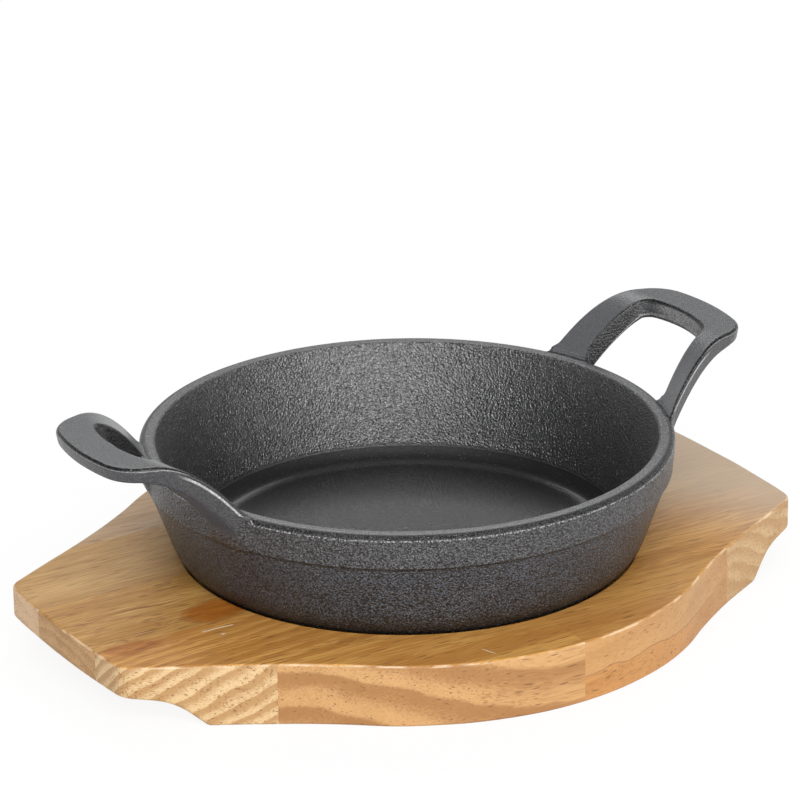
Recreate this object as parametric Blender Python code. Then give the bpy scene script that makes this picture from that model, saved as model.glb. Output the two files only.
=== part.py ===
"""Serving pan: a cast-iron pan with two loop handles, lying in the round recess of a wooden board.

Metres, +Z up. The origin is the middle of the board's underside, and +X runs along the
board's grain, towards one of the two pan handles.
"""
from math import atan2, cos, hypot, pi, radians, sin, sqrt, tan

import bmesh
import bpy
from mathutils import Vector

# Board
BULGE_MARGIN = 0.0103       # from the pan's rim to the round sides of the board
END_MARGIN = 0.0365         # from the pan's rim to the middle of an end
BOARD_THICKNESS = 0.0184
BOARD_EDGE_ROUND = 0.0010
END_BOW_RADIUS = 0.360
END_CORNER_RADIUS = 0.0065
FLARE_SLOPE = radians(28.9)
SHOULDER_RISE = 0.0040      # the round sides stand this far outside the slanted edges
SHOULDER_RADIUS = 0.198     # hollow curve between a round side and a slanted edge

# Finger hollows under the board's ends
LIP_THICKNESS = 0.0092
LIP_SLOPE = radians(7.0)
COVE_RADIUS = 0.017
COVE_SLOPE = radians(42.0)
FOOT_SETBACK = 0.0228       # from the board's end to the edge that it stands on

# Glued staves
STAVE_WIDTH = 0.0340
STAVE_SHIFT = -0.0036       # the middle stave's centre line lies off the board's
BUTT_JOINT_X = 0.0042       # where the front stave's two lengths meet
GLUE_GAP = 0.0003

# Pan casting
RIM_RADIUS = 0.0775
RIM_WIDTH = 0.00484
PAN_HEIGHT = 0.0386
RIM_OUTER_ROUND = 0.0019
RIM_INNER_ROUND = 0.0008
BAND_HEIGHT = 0.0099
BAND_DRAFT = radians(5.0)
BAND_STEP = 0.0009
STEP_SLOPE = radians(35.0)
WALL_DRAFT = radians(19.4)
INNER_DRAFT = radians(18.6)
FLOOR_THICKNESS = 0.0047
HEEL_RADIUS = 0.015
FLOOR_FILLET = 0.0075

# How the pan sits in the board
RECESS_DEPTH = 0.0050
SEAT_GAP = 0.0003
RECESS_CLEARANCE = 0.0006

# Loop handles
LOOP_REACH = 0.0293         # far edge of the loop, measured out from the rim
LOOP_RISE = 0.0178          # top of the loop over the rim
LEG_SPREAD_OUTER = 0.0317   # leg's outer edge from the handle's axis, at the rim
LEG_SPREAD_INNER = 0.0210
TOE_IN_OUTER = radians(18.0)
TOE_IN_INNER = radians(18.3)
FAR_BAR_WIDTH = 0.0109
BOW_RADIUS_OUTER = 0.066
BOW_RADIUS_INNER = 0.045
LOOP_CORNER_OUTER = 0.0125
LOOP_CORNER_INNER = 0.0052
INNER_THICKNESS = 0.0062    # depth of the bar's side along the opening, where the loop is level
OUTER_THICKNESS = 0.0044
INNER_GROWTH = 0.0013       # how much deeper the bar is at the foot of its ramp
OUTER_GROWTH = 0.0039
BAR_DRAFT_INNER = radians(9.0)
BAR_DRAFT_OUTER = radians(10.0)
RAMP_START = 0.0009         # the rise starts this far inside the rim's edge
RAMP_RUN = 0.0205           # and levels off this far from its start
ROOT_FILLET_INNER = 0.0015
ROOT_FILLET_OUTER = 0.0010
ROOT_FILLET_BELOW = 0.0015
TOP_ROUND_OUTER = 0.0012
TOP_ROUND_INNER = 0.0010
UNDER_ROUND_OUTER = 0.0014
UNDER_ROUND_INNER = 0.0015

# Fineness of the solids
PAN_STEPS = 96
RECESS_STEPS = 96
END_STEPS = 3
END_CORNER_STEPS = 5
SHOULDER_STEPS = 6
BULGE_STEPS = 11
COVE_STEPS = 6
HEEL_STEPS = 7
RIM_STEPS = 4
FLOOR_STEPS = 5
LEG_STEPS = 9
LOOP_CORNER_STEPS = 7
FAR_BAR_STEPS = 4
BAR_ROUND_STEPS = 3
EDGE_ROUND_STEPS = 2
SHARP_ANGLE = radians(35)
BEVELLED_ANGLE = radians(60)
CUT_MARGIN = 0.010          # how far cutting shapes run past what they cut

# Colours
IRON = (0.045, 0.045, 0.048)
LIGHT_WOOD = (0.60, 0.36, 0.17)
DARK_WOOD = (0.52, 0.29, 0.13)

BOARD_HALF_LENGTH = RIM_RADIUS + END_MARGIN
BULGE_RADIUS = RIM_RADIUS + BULGE_MARGIN
FLARE_REACH = BULGE_RADIUS - SHOULDER_RISE
FLARE_ANGLE = pi / 2 - FLARE_SLOPE
BAND_FOOT_RADIUS = RIM_RADIUS - BAND_HEIGHT * tan(BAND_DRAFT)
STEP_FOOT_RADIUS = BAND_FOOT_RADIUS - BAND_STEP
STEP_FOOT_DEPTH = BAND_HEIGHT + BAND_STEP * tan(STEP_SLOPE)
HEEL_CORNER_RADIUS = STEP_FOOT_RADIUS - (PAN_HEIGHT - STEP_FOOT_DEPTH) * tan(WALL_DRAFT)
FLOOR_LEVEL = BOARD_THICKNESS - RECESS_DEPTH
PAN_BASE = FLOOR_LEVEL + SEAT_GAP
RIM_LEVEL = PAN_BASE + PAN_HEIGHT
RAMP_TOP_RADIUS = RIM_RADIUS - RAMP_START + RAMP_RUN


# Plane geometry

def arc(centre, radius, start, end, steps):
    """Points on a circle from one angle to another, both ends included."""
    turn = (end - start) / steps
    angles = [start + turn * step for step in range(steps + 1)]
    return [(centre[0] + radius * cos(a), centre[1] + radius * sin(a)) for a in angles]


def rounded_corner(before, corner, after, radius, steps):
    """The arc that replaces a corner between two straight sides."""
    into = Vector(before) - Vector(corner)
    out = Vector(after) - Vector(corner)
    half = into.angle(out) / 2
    middle = (into.normalized() + out.normalized()).normalized()
    centre = Vector(corner) + middle * radius / sin(half)
    reach = radius / tan(half)
    first = Vector(corner) + into.normalized() * reach - centre
    last = Vector(corner) + out.normalized() * reach - centre
    start = atan2(first.y, first.x)
    sweep = first.angle_signed(last)
    return arc(centre, radius, start, start - sweep, steps)


def rounded_path(corners, steps, closed=False):
    """A path through (x, y, radius) corners; radius 0 keeps a corner sharp."""
    count = len(corners)
    path = []
    for index, (x, y, radius) in enumerate(corners):
        is_end = not closed and index in (0, count - 1)
        if radius == 0 or is_end:
            path.append((x, y))
            continue
        before = corners[index - 1][:2]
        after = corners[(index + 1) % count][:2]
        path.extend(rounded_corner(before, (x, y), after, radius, steps))
    return path


def corner_circle(normal_angle, offset, arc_centre_x, arc_radius, fillet):
    """Centre of the circle that rounds the corner of a line and a larger circle, inside both.

    The line lies at the given offset from the origin; its normal is turned by
    normal_angle from +Y towards +X. The larger circle is centred on the X axis.
    """
    normal = Vector((sin(normal_angle), cos(normal_angle)))
    along = Vector((cos(normal_angle), -sin(normal_angle)))
    foot = normal * (offset - fillet) - Vector((arc_centre_x, 0))
    half_b = foot.dot(along)
    rest = foot.length_squared - (arc_radius - fillet) ** 2
    travel = -half_b + sqrt(half_b ** 2 - rest)
    return normal * (offset - fillet) + along * travel


# Mesh and object helpers

def new_object(name, bm):
    bmesh.ops.recalc_face_normals(bm, faces=bm.faces)
    mesh = bpy.data.meshes.new(name)
    bm.to_mesh(mesh)
    bm.free()
    obj = bpy.data.objects.new(name, mesh)
    bpy.context.scene.collection.objects.link(obj)
    return obj


def prism(name, outline, low, high, across="Z"):
    """A closed outline pushed from low to high along Z, or along Y for an XZ outline."""
    def place(point, level):
        return (point[0], point[1], level) if across == "Z" else (point[0], level, point[1])

    bm = bmesh.new()
    bottom = [bm.verts.new(place(point, low)) for point in outline]
    top = [bm.verts.new(place(point, high)) for point in outline]
    bm.faces.new(bottom)
    bm.faces.new(top)
    for index in range(len(outline)):
        following = (index + 1) % len(outline)
        bm.faces.new((bottom[index], bottom[following], top[following], top[index]))
    return new_object(name, bm)


def turned(name, profile, steps):
    """A solid of revolution from a profile whose two ends lie on the Z axis."""
    bm = bmesh.new()
    verts = [bm.verts.new((x, 0, z)) for x, z in profile]
    for first, second in zip(verts, verts[1:]):
        bm.edges.new((first, second))
    bmesh.ops.spin(bm, geom=bm.verts[:] + bm.edges[:], axis=(0, 0, 1), cent=(0, 0, 0),
                   steps=steps, angle=2 * pi, use_merge=True)
    bmesh.ops.remove_doubles(bm, verts=bm.verts, dist=1e-6)
    return new_object(name, bm)


def skinned(name, sections):
    """A closed solid through a row of closed sections with equal point counts."""
    bm = bmesh.new()
    rings = [[bm.verts.new(point) for point in section] for section in sections]
    for ring, following in zip(rings, rings[1:]):
        for index in range(len(ring)):
            after = (index + 1) % len(ring)
            bm.faces.new((ring[index], ring[after], following[after], following[index]))
    bm.faces.new(rings[0])
    bm.faces.new(rings[-1])
    return new_object(name, bm)


def as_cutter(obj):
    obj.hide_render = True
    obj.display_type = "WIRE"
    return obj


def add_boolean(obj, operation, other):
    boolean = obj.modifiers.new(f"{operation.lower()}_{other.name}", "BOOLEAN")
    boolean.operation = operation
    boolean.object = other
    boolean.solver = "EXACT"


def shade_round(obj):
    obj.data.shade_smooth()
    obj.data.set_sharp_from_angle(angle=SHARP_ANGLE)


def material(name, colour, roughness, metallic):
    made = bpy.data.materials.new(name)
    made.use_nodes = True
    shader = made.node_tree.nodes["Principled BSDF"]
    shader.inputs["Base Color"].default_value = (*colour, 1)
    shader.inputs["Roughness"].default_value = roughness
    shader.inputs["Metallic"].default_value = metallic
    made.diffuse_color = (*colour, 1)
    return made


# Board

def board_quarter():
    """Outline of one quarter, from the middle of an end round to the middle of a bulge."""
    end_centre_x = BOARD_HALF_LENGTH - END_BOW_RADIUS
    corner = corner_circle(FLARE_SLOPE, FLARE_REACH, end_centre_x, END_BOW_RADIUS,
                           END_CORNER_RADIUS)
    end_angle = atan2(corner.y, corner.x - end_centre_x)
    end = arc((end_centre_x, 0), END_BOW_RADIUS, 0, end_angle, END_STEPS)
    rounding = arc(corner, END_CORNER_RADIUS, end_angle, FLARE_ANGLE, END_CORNER_STEPS)

    rise = FLARE_REACH + SHOULDER_RADIUS
    run = sqrt((BULGE_RADIUS + SHOULDER_RADIUS) ** 2 - rise ** 2)
    hollow = Vector((sin(FLARE_SLOPE) * rise + cos(FLARE_SLOPE) * run,
                     cos(FLARE_SLOPE) * rise - sin(FLARE_SLOPE) * run))
    hollow_angle = atan2(hollow.y, hollow.x)
    shoulder = arc(hollow, SHOULDER_RADIUS, pi + FLARE_ANGLE, pi + hollow_angle, SHOULDER_STEPS)
    bulge = arc((0, 0), BULGE_RADIUS, hollow_angle, pi / 2, BULGE_STEPS)
    return end + rounding[1:] + shoulder + bulge[1:]


def board_outline():
    quarter = board_quarter()
    upper = quarter + [(-x, y) for x, y in reversed(quarter[:-1])]
    return upper + [(x, -y) for x, y in reversed(upper[1:-1])]


def cove_profile():
    """What is cut away under one end, in X and Z: the lip's underside, then a hollow curve."""
    lip_z = BOARD_THICKNESS - LIP_THICKNESS
    foot_x = BOARD_HALF_LENGTH - FOOT_SETBACK
    steepening = tan(COVE_SLOPE) - tan(LIP_SLOPE)
    corner_x = foot_x + (lip_z - FOOT_SETBACK * tan(LIP_SLOPE)) / steepening
    corner_z = (corner_x - foot_x) * tan(COVE_SLOPE)
    outer_x = BOARD_HALF_LENGTH + CUT_MARGIN
    outer_z = lip_z + CUT_MARGIN * tan(LIP_SLOPE)
    lowest_x = foot_x - CUT_MARGIN / tan(COVE_SLOPE)
    corners = [(outer_x, outer_z, 0), (corner_x, corner_z, COVE_RADIUS),
               (lowest_x, -CUT_MARGIN, 0), (outer_x, -CUT_MARGIN, 0)]
    return rounded_path(corners, COVE_STEPS, closed=True)


def pan_radius_at(height):
    """Outer radius of the casting at a height over its base, on the heel's curve or above."""
    reach = HEEL_RADIUS * tan((pi / 2 - WALL_DRAFT) / 2)
    if height >= reach * cos(WALL_DRAFT):
        return HEEL_CORNER_RADIUS + height * tan(WALL_DRAFT)
    return HEEL_CORNER_RADIUS - reach + sqrt(HEEL_RADIUS ** 2 - (HEEL_RADIUS - height) ** 2)


def board_cutters():
    recess_radius = pan_radius_at(RECESS_DEPTH - SEAT_GAP) + RECESS_CLEARANCE
    circle = arc((0, 0), recess_radius, 0, 2 * pi, RECESS_STEPS)[:-1]
    recess = prism("recess_cutter", circle, FLOOR_LEVEL, BOARD_THICKNESS + CUT_MARGIN)
    half_width = BULGE_RADIUS + CUT_MARGIN
    right = prism("cove_cutter_right", cove_profile(), -half_width, half_width, across="Y")
    mirrored = [(-x, z) for x, z in cove_profile()]
    left = prism("cove_cutter_left", mirrored, -half_width, half_width, across="Y")
    return [as_cutter(cutter) for cutter in (recess, right, left)]


def stave_rows():
    """Name and span in X and Y of each piece of wood, front to back."""
    far_x = BOARD_HALF_LENGTH + CUT_MARGIN
    far_y = BULGE_RADIUS + CUT_MARGIN
    half_gap = GLUE_GAP / 2
    full_staves = ("inner_front_stave", "middle_stave", "inner_back_stave")
    first_seam = STAVE_SHIFT - len(full_staves) * STAVE_WIDTH / 2
    seams = [first_seam + row * STAVE_WIDTH for row in range(len(full_staves) + 1)]
    joint_low = BUTT_JOINT_X - half_gap
    joint_high = BUTT_JOINT_X + half_gap
    rows = [("front_stave_left", -far_x, joint_low, -far_y, seams[0] - half_gap),
            ("front_stave_right", joint_high, far_x, -far_y, seams[0] - half_gap)]
    for name, low, high in zip(full_staves, seams, seams[1:]):
        rows.append((name, -far_x, far_x, low + half_gap, high - half_gap))
    rows.append(("back_stave", -far_x, far_x, seams[-1] + half_gap, far_y))
    return rows


def build_board():
    """The shaped blank, cut into its staves, with the recess and both hollows."""
    blank = prism("board_blank", board_outline(), 0, BOARD_THICKNESS)
    shade_round(blank)
    cutters = board_cutters()
    wood = [material("light_wood", LIGHT_WOOD, 0.5, 0), material("dark_wood", DARK_WOOD, 0.5, 0)]
    for index, (name, x_low, x_high, y_low, y_high) in enumerate(stave_rows()):
        corners = [(x_low, y_low), (x_high, y_low), (x_high, y_high), (x_low, y_high)]
        slot = as_cutter(prism(f"{name}_slot", corners, -CUT_MARGIN, BOARD_THICKNESS + CUT_MARGIN))
        stave = bpy.data.objects.new(name, blank.data.copy())
        bpy.context.scene.collection.objects.link(stave)
        stave.data.materials.append(wood[index % len(wood)])
        bevel = stave.modifiers.new("edge_round", "BEVEL")
        bevel.width = BOARD_EDGE_ROUND
        bevel.segments = EDGE_ROUND_STEPS
        bevel.limit_method = "ANGLE"
        bevel.angle_limit = BEVELLED_ANGLE
        for cutter in cutters:
            add_boolean(stave, "DIFFERENCE", cutter)
        add_boolean(stave, "INTERSECT", slot)
    as_cutter(blank)


# Pan casting

def pan_profile():
    """Half section of the pan without its handles: outside up, over the rim, inside down."""
    inner_rim = RIM_RADIUS - RIM_WIDTH
    floor_z = PAN_BASE + FLOOR_THICKNESS
    inner_foot = inner_rim - (RIM_LEVEL - floor_z) * tan(INNER_DRAFT)
    outside = rounded_path([(0, PAN_BASE, 0),
                            (HEEL_CORNER_RADIUS, PAN_BASE, HEEL_RADIUS),
                            (STEP_FOOT_RADIUS, RIM_LEVEL - STEP_FOOT_DEPTH, 0)], HEEL_STEPS)
    rim = rounded_path([(BAND_FOOT_RADIUS, RIM_LEVEL - BAND_HEIGHT, 0),
                        (RIM_RADIUS, RIM_LEVEL, RIM_OUTER_ROUND),
                        (inner_rim, RIM_LEVEL, RIM_INNER_ROUND),
                        (inner_foot, floor_z, 0)], RIM_STEPS)
    inside = rounded_path([(inner_rim, RIM_LEVEL, 0),
                           (inner_foot, floor_z, FLOOR_FILLET),
                           (0, floor_z, 0)], FLOOR_STEPS)
    return outside + rim[:-1] + inside[1:]


def ramp_share(radius):
    """How far down the ramp a radius lies: 0 on the loop's level part, 1 at the ramp's start."""
    return max(RAMP_TOP_RADIUS - radius, 0) / RAMP_RUN


def ramp_height(radius):
    """Height of the handle's top face over the rim: a parabola that levels off."""
    return LOOP_RISE * (1 - ramp_share(radius) ** 2)


def bar_depth(level_depth, growth, radius):
    """Depth of the bar under its top face, which grows soon after the ramp sets in."""
    share = ramp_share(radius)
    return level_depth + growth * share * (2 - share)


def root_swell(distance, fillet):
    """How much a leg's side moves out near the wall, so that it meets it in a fillet."""
    if distance >= fillet:
        return 0.0
    gap = fillet - max(distance, 0.0)
    return fillet - sqrt(fillet ** 2 - gap ** 2)


def loop_outline(spread, toe_in, reach, bow_radius, corner_radius):
    """Half of one edge of the loop in plan, from the rim along a leg to the middle of the far bar."""
    normal = Vector((sin(toe_in), cos(toe_in)))
    along = Vector((cos(toe_in), -sin(toe_in)))
    foot = Vector((sqrt(RIM_RADIUS ** 2 - spread ** 2), spread))
    bow_centre = RIM_RADIUS + reach - bow_radius
    corner = corner_circle(toe_in, foot.dot(normal), bow_centre, bow_radius, corner_radius)
    leg_end = corner + normal * corner_radius
    leg_length = (leg_end - foot).dot(along)
    leg = [foot + along * leg_length * step / LEG_STEPS for step in range(LEG_STEPS)]
    bow_angle = atan2(corner.y, corner.x - bow_centre)
    bend = arc(corner, corner_radius, pi / 2 - toe_in, bow_angle, LOOP_CORNER_STEPS)
    bow = arc((bow_centre, 0), bow_radius, bow_angle, 0, FAR_BAR_STEPS)
    return leg + [Vector(point) for point in bend + bow[1:]]


def loop_stations():
    """Half of the loop in plan, root to far end: (middle point, outward direction, width)."""
    outer = loop_outline(LEG_SPREAD_OUTER, TOE_IN_OUTER, LOOP_REACH,
                         BOW_RADIUS_OUTER, LOOP_CORNER_OUTER)
    inner = loop_outline(LEG_SPREAD_INNER, TOE_IN_INNER, LOOP_REACH - FAR_BAR_WIDTH,
                         BOW_RADIUS_INNER, LOOP_CORNER_INNER)
    stations = []
    for outside, inside in zip(outer, inner):
        across = outside - inside
        stations.append(((outside + inside) / 2, across.normalized(), across.length))
    return stations


def bar_section(width, radius):
    """The bar's section as (out, height) points: deeper where it climbs, swollen near the wall.

    Both sides lean towards the opening as they go down.
    """
    distance = radius - RIM_RADIUS
    outer = width / 2 + root_swell(distance, ROOT_FILLET_OUTER)
    inner = -width / 2 - root_swell(distance, ROOT_FILLET_INNER)
    swell = root_swell(distance, ROOT_FILLET_BELOW)
    inner_depth = bar_depth(INNER_THICKNESS, INNER_GROWTH, radius) + swell
    outer_depth = bar_depth(OUTER_THICKNESS, OUTER_GROWTH, radius) + swell
    inner_foot = (inner - inner_depth * tan(BAR_DRAFT_INNER), -inner_depth)
    outer_foot = (outer - outer_depth * tan(BAR_DRAFT_OUTER), -outer_depth)
    return rounded_path([(outer, 0, TOP_ROUND_OUTER), (inner, 0, TOP_ROUND_INNER),
                         (*inner_foot, UNDER_ROUND_INNER),
                         (*outer_foot, UNDER_ROUND_OUTER)],
                        BAR_ROUND_STEPS, closed=True)


def lifted(point, height):
    """Place a plan point of the handle at its height under the sloping top face."""
    return (point.x, point.y, RIM_LEVEL + ramp_height(hypot(point.x, point.y)) + height)


def root_section():
    """The leg's first section, which lies on a circle inside the pan's wall."""
    middle, out, width = loop_stations()[0]
    along = Vector((out.y, -out.x))
    root_radius = RIM_RADIUS - RIM_WIDTH
    section = []
    for offset, height in bar_section(width, RIM_RADIUS):
        side = middle + out * offset
        half_b = side.dot(along)
        travel = -half_b + sqrt(half_b ** 2 - side.length_squared + root_radius ** 2)
        section.append(lifted(side + along * travel, height))
    return section


def handle_sections():
    half = [root_section()]
    for middle, out, width in loop_stations():
        half.append([lifted(middle + out * offset, height)
                     for offset, height in bar_section(width, middle.length)])
    mirrored = [[(x, -y, z) for x, y, z in section] for section in reversed(half[:-1])]
    return half + mirrored


def build_pan():
    pan = turned("pan", pan_profile(), PAN_STEPS)
    pan.data.materials.append(material("cast_iron", IRON, 0.55, 0.6))
    for side, turn in (("right", 0), ("left", pi)):
        handle = as_cutter(skinned(f"{side}_handle", handle_sections()))
        handle.rotation_euler.z = turn
        add_boolean(pan, "UNION", handle)
    shade_round(pan)


def clear_scene():
    for obj in list(bpy.data.objects):
        bpy.data.objects.remove(obj)


clear_scene()
build_board()
build_pan()
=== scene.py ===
"""Looks of the serving pan: a cast-iron pan with two loop handles on a shaped wooden board.

Metres, +Z up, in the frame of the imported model. Wood grain runs along X.
"""
from math import atan2, cos, hypot, pi, radians, sin, sqrt, tan

import bmesh
import bpy
import numpy as np
from mathutils import Matrix, Vector, kdtree, noise


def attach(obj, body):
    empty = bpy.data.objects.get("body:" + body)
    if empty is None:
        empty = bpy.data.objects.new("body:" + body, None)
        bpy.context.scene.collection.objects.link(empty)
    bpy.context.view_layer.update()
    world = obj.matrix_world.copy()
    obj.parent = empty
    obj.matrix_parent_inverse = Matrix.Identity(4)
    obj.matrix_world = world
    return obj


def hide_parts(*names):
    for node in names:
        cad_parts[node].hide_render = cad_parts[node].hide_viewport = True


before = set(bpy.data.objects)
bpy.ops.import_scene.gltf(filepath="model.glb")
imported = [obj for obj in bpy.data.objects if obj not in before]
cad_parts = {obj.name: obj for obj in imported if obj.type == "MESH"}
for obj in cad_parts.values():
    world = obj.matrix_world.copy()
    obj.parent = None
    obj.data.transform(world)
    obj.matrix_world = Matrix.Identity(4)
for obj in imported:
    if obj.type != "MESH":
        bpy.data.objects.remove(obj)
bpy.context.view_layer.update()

# Board
BULGE_MARGIN = 0.0103       # from the pan's rim to the round sides of the board
END_MARGIN = 0.0365         # from the pan's rim to the middle of an end
BOARD_THICKNESS = 0.0184
END_BOW_RADIUS = 0.360
END_CORNER_RADIUS = 0.0065
FLARE_SLOPE = radians(28.9)
SHOULDER_RISE = 0.0040
SHOULDER_RADIUS = 0.198
TOP_EDGE_ROUND = 0.0009
UNDER_EDGE_ROUND = 0.0010
EDGE_WEAR = 0.35            # how much the edge's rounding varies along the board
WEAR_RATE = 60              # changes of the wear in a metre
OUTLINE_SPACING = 0.0015
END_STEPS = 24
END_CORNER_STEPS = 12
SHOULDER_STEPS = 24
BULGE_STEPS = 60

# Finger hollows under the board's ends
LIP_THICKNESS = 0.0092
LIP_SLOPE = radians(7.0)
COVE_RADIUS = 0.017
COVE_SLOPE = radians(42.0)
FOOT_SETBACK = 0.0228
FOOT_ROUND = 0.0020
COVE_STEPS = 16
COVE_SPACING = 0.0005

# Glued staves
STAVE_WIDTH = 0.0340
STAVE_SHIFT = -0.0036
BUTT_JOINT_X = 0.0042
SEAM_GAP = 0.00002

# Pan casting
RIM_RADIUS = 0.0775
RIM_WIDTH = 0.00484
PAN_HEIGHT = 0.0386
RIM_OUTER_ROUND = 0.0019
RIM_INNER_ROUND = 0.0009
BAND_HEIGHT = 0.0099
BAND_DRAFT = radians(5.0)
BAND_STEP = 0.0009
STEP_SLOPE = radians(35.0)
STEP_ROUND = 0.0003
WALL_DRAFT = radians(19.4)
INNER_DRAFT = radians(18.6)
FLOOR_THICKNESS = 0.0047
HEEL_RADIUS = 0.015
FLOOR_FILLET = 0.0075
PROFILE_ROUND_STEPS = 9
PROFILE_SPACING = 0.0011
JOIN_ANGLE = radians(34)    # to each side of a handle, where the pan's faces are narrower
JOIN_TURN = radians(0.5)
PLAIN_TURN = radians(1.5)

# How the pan sits in the board
RECESS_DEPTH = 0.0050
SEAT_GAP = 0.0003
RECESS_CLEARANCE = 0.0006
RECESS_EDGE_ROUND = 0.0004
RECESS_STEPS = 240
CUTTER_TOP = 0.03

# Loop handles
LOOP_REACH = 0.0293
LOOP_RISE = 0.0178
LEG_SPREAD_OUTER = 0.0317
LEG_SPREAD_INNER = 0.0210
TOE_IN_OUTER = radians(18.0)
TOE_IN_INNER = radians(18.3)
FAR_BAR_WIDTH = 0.0109
BOW_RADIUS_OUTER = 0.066
BOW_RADIUS_INNER = 0.045
LOOP_CORNER_OUTER = 0.0125
LOOP_CORNER_INNER = 0.0052
INNER_THICKNESS = 0.0062
OUTER_THICKNESS = 0.0044
INNER_GROWTH = 0.0013
OUTER_GROWTH = 0.0039
BAR_DRAFT_INNER = radians(9.0)
BAR_DRAFT_OUTER = radians(10.0)
RAMP_START = 0.0009
RAMP_RUN = 0.0205
ROOT_FILLET_INNER = 0.0015
ROOT_FILLET_OUTER = 0.0012
ROOT_FILLET_BELOW = 0.0020
TOP_ROUND_OUTER = 0.0012
TOP_ROUND_INNER = 0.0010
UNDER_ROUND_OUTER = 0.0014
UNDER_ROUND_INNER = 0.0015
ROOT_DEPTH = 0.7            # of the rim's width, how deep a leg reaches into the wall
LEG_STEPS = 36
LEG_CROWDING = 1.15         # above 1, the leg's sections crowd towards the wall
BEND_STEPS = 22
BOW_STEPS = 16
BAR_ROUND_STEPS = 6
FLAT_POINTS = (12, 4)       # across the top and the underside, and down both sides
BLEND_REACH = 0.0017        # the casting is softened this far from where a handle joins it
BLEND_PASSES = 14
BLEND_PULL = 0.6
MERGE_DISTANCE = 0.00015

# Zones inside the pan: material, its index of refraction, and the least Z of a face's normal
INNER_ZONES = (("inner_iron", 2.40, -1.0), ("fillet_iron", 1.55, 0.40), ("floor_iron", 2.00, 0.93))

# Camera: where the photograph was taken from, round the middle of the board's top
CAMERA_TURN = radians(30.7)
CAMERA_DIP = radians(21.551)
CAMERA_ROLL = radians(-0.772)
CAMERA_PLACE = Vector((-0.001906, -1.216142, 0.523959))
CAMERA_LENS = 204.59
CAMERA_SENSOR = 36

# What follows from these
BOARD_HALF_LENGTH = RIM_RADIUS + END_MARGIN
BULGE_RADIUS = RIM_RADIUS + BULGE_MARGIN
FLARE_REACH = BULGE_RADIUS - SHOULDER_RISE
FLARE_ANGLE = pi / 2 - FLARE_SLOPE
BAND_FOOT_RADIUS = RIM_RADIUS - BAND_HEIGHT * tan(BAND_DRAFT)
STEP_FOOT_RADIUS = BAND_FOOT_RADIUS - BAND_STEP
STEP_FOOT_DEPTH = BAND_HEIGHT + BAND_STEP * tan(STEP_SLOPE)
HEEL_CORNER_RADIUS = STEP_FOOT_RADIUS - (PAN_HEIGHT - STEP_FOOT_DEPTH) * tan(WALL_DRAFT)
FLOOR_LEVEL = BOARD_THICKNESS - RECESS_DEPTH
PAN_BASE = FLOOR_LEVEL + SEAT_GAP
PAN_FLOOR = PAN_BASE + FLOOR_THICKNESS
RIM_LEVEL = PAN_BASE + PAN_HEIGHT
RAMP_TOP_RADIUS = RIM_RADIUS - RAMP_START + RAMP_RUN

MM = 1000                   # millimetres in a metre, for the textures
EDGE_STEPS = 4
QUARTER_TURN = [pi / 2 * step / EDGE_STEPS for step in range(EDGE_STEPS + 1)]
ON_AXIS = 1e-6              # points nearer to the axis than this are on it
CUT_SLACK = 1e-7
WOOD_CREASE = radians(40)   # edges sharper than this stay hard
IRON_CREASE = radians(60)
HANDLE_MARK = 1             # material index of a handle's faces until they have materials


# Plane geometry

def arc(centre, radius, start, end, steps):
    """Points on a circle from one angle to another, both ends included."""
    turn = (end - start) / steps
    angles = [start + turn * step for step in range(steps + 1)]
    return [(centre[0] + radius * cos(a), centre[1] + radius * sin(a)) for a in angles]


def rounded_corner(before, corner, after, radius, steps):
    """The arc that replaces a corner between two straight sides."""
    into = Vector(before) - Vector(corner)
    out = Vector(after) - Vector(corner)
    half = into.angle(out) / 2
    middle = (into.normalized() + out.normalized()).normalized()
    centre = Vector(corner) + middle * radius / sin(half)
    reach = radius / tan(half)
    first = Vector(corner) + into.normalized() * reach - centre
    last = Vector(corner) + out.normalized() * reach - centre
    start = atan2(first.y, first.x)
    sweep = first.angle_signed(last)
    return arc(centre, radius, start, start - sweep, steps)


def rounded_path(corners, steps, closed=False):
    """A path through (x, y, radius) corners; radius 0 keeps a corner sharp."""
    count = len(corners)
    path = []
    for index, (x, y, radius) in enumerate(corners):
        is_end = not closed and index in (0, count - 1)
        if radius == 0 or is_end:
            path.append((x, y))
            continue
        before = corners[index - 1][:2]
        after = corners[(index + 1) % count][:2]
        path.extend(rounded_corner(before, (x, y), after, radius, steps))
    return path


def subdivided(path, spacing, closed=False):
    """The path with points added on its long stretches."""
    ends = path + path[:1] if closed else path
    result = []
    for first, second in zip(ends, ends[1:]):
        pieces = max(1, round(hypot(second[0] - first[0], second[1] - first[1]) / spacing))
        for piece in range(pieces):
            share = piece / pieces
            result.append((first[0] + (second[0] - first[0]) * share,
                           first[1] + (second[1] - first[1]) * share))
    return result if closed else result + [path[-1]]


def corner_circle(normal_angle, offset, arc_centre_x, arc_radius, fillet):
    """Centre of the circle that rounds the corner of a line and a larger circle, inside both.

    The line lies at the given offset from the origin; its normal is turned by
    normal_angle from +Y towards +X. The larger circle is centred on the X axis.
    """
    normal = Vector((sin(normal_angle), cos(normal_angle)))
    along = Vector((cos(normal_angle), -sin(normal_angle)))
    foot = normal * (offset - fillet) - Vector((arc_centre_x, 0))
    half_b = foot.dot(along)
    rest = foot.length_squared - (arc_radius - fillet) ** 2
    travel = -half_b + sqrt(half_b ** 2 - rest)
    return normal * (offset - fillet) + along * travel


# Mesh helpers

def add_object(name, data):
    obj = bpy.data.objects.new(name, data)
    bpy.context.scene.collection.objects.link(obj)
    return obj


def new_object(name, bm):
    bmesh.ops.recalc_face_normals(bm, faces=bm.faces)
    mesh = bpy.data.meshes.new(name)
    bm.to_mesh(mesh)
    bm.free()
    return add_object(name, mesh)


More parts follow.
